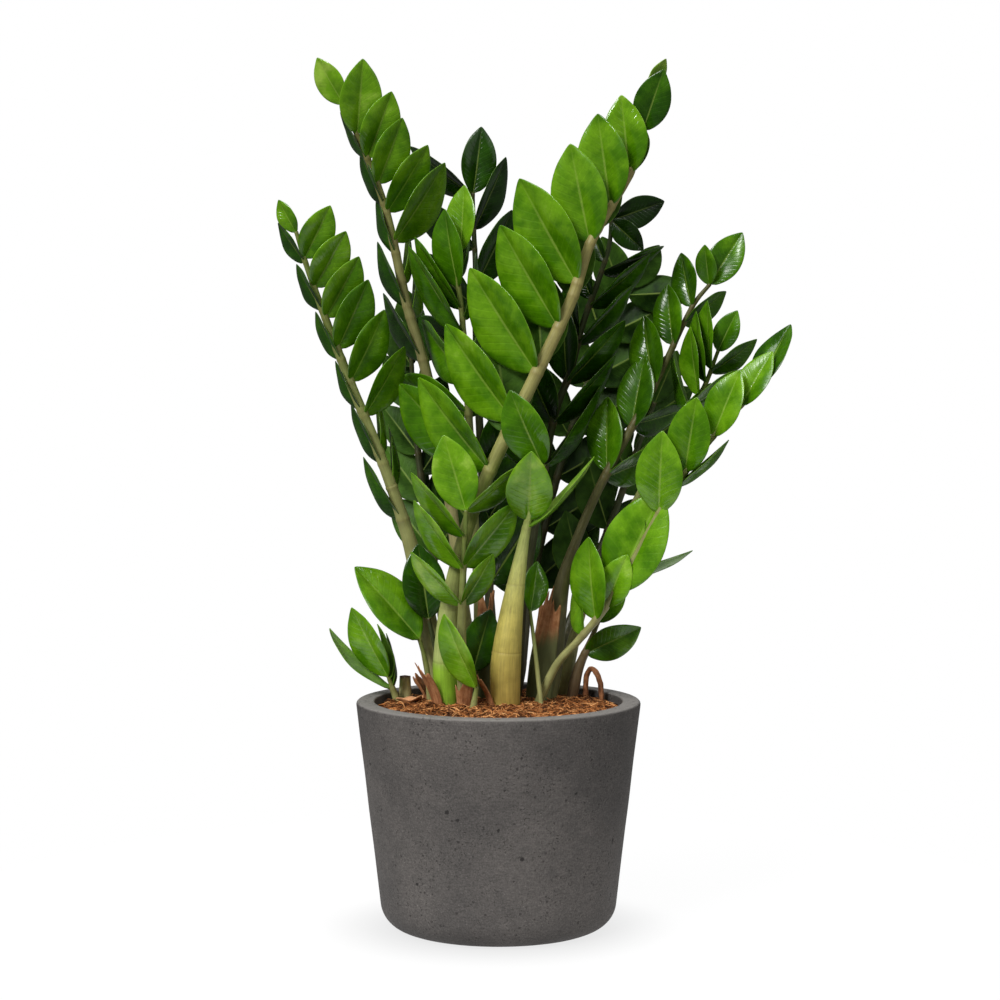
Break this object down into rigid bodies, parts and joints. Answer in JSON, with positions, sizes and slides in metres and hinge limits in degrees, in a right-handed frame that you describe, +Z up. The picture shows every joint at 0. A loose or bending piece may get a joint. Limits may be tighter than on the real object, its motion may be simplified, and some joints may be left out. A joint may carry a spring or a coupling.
{
  "type": "potted zz plant",
  "caption": "Leafy potted plant: glossy pinnate stems fanning up from swollen bases in fibre mix, in a tapered round matte pot that stands on a flat foot.",
  "frame": {"origin": "centre of the flat underside of the pot's foot, on the surface the pot stands on", "axes": "+Z up along the pot's axis, +X to the right as seen from the front, -Y towards the viewer in front"},
  "size_m": [0.4958, 0.2943, 0.8498],
  "materials": {
    "pot": "matte fibre-stone, dark warm grey, faintly mottled with small pits",
    "growing_mix": "rough red-brown coconut fibre and bark",
    "leaf": "glossy waxy green leaflets with a lighter midrib, on green to olive stems",
    "cut_wood": "matte, dry and brown on top",
    "dry_sheath": "dry papery red-brown",
    "root": "matte brown"
  },
  "bodies": {
    "root": {"pot": "pot", "growing_mix": "growing_mix", "stem_front_centre": "leaf", "shoot_front_low": "leaf", "shoot_dark_centre": "leaf", "stem_front_left": "leaf", "stem_front_tall": "leaf", "stem_right_arching": "leaf", "stem_far_left": "leaf", "stem_centre_left": "leaf", "stem_upper_left": "leaf", "stem_right": "leaf", "stem_upper_right": "leaf", "stem_dark_behind": "leaf", "stem_back_centre": "leaf", "stem_back_left": "leaf", "stem_back_right": "leaf", "stem_back_middle": "leaf", "shoot_low_left": "leaf", "shoot_left": "leaf", "shoot_dark_left": "leaf", "shoot_brown_right": "leaf", "cut_stub": "cut_wood", "shoot_thin_centre": "leaf", "dry_sheath_1": "dry_sheath", "dry_sheath_2": "dry_sheath", "dry_sheath_3": "dry_sheath", "dry_sheath_4": "dry_sheath", "dry_sheath_5": "dry_sheath", "dry_sheath_6": "dry_sheath", "arched_root": "root"}
  },
  "joints": []
}
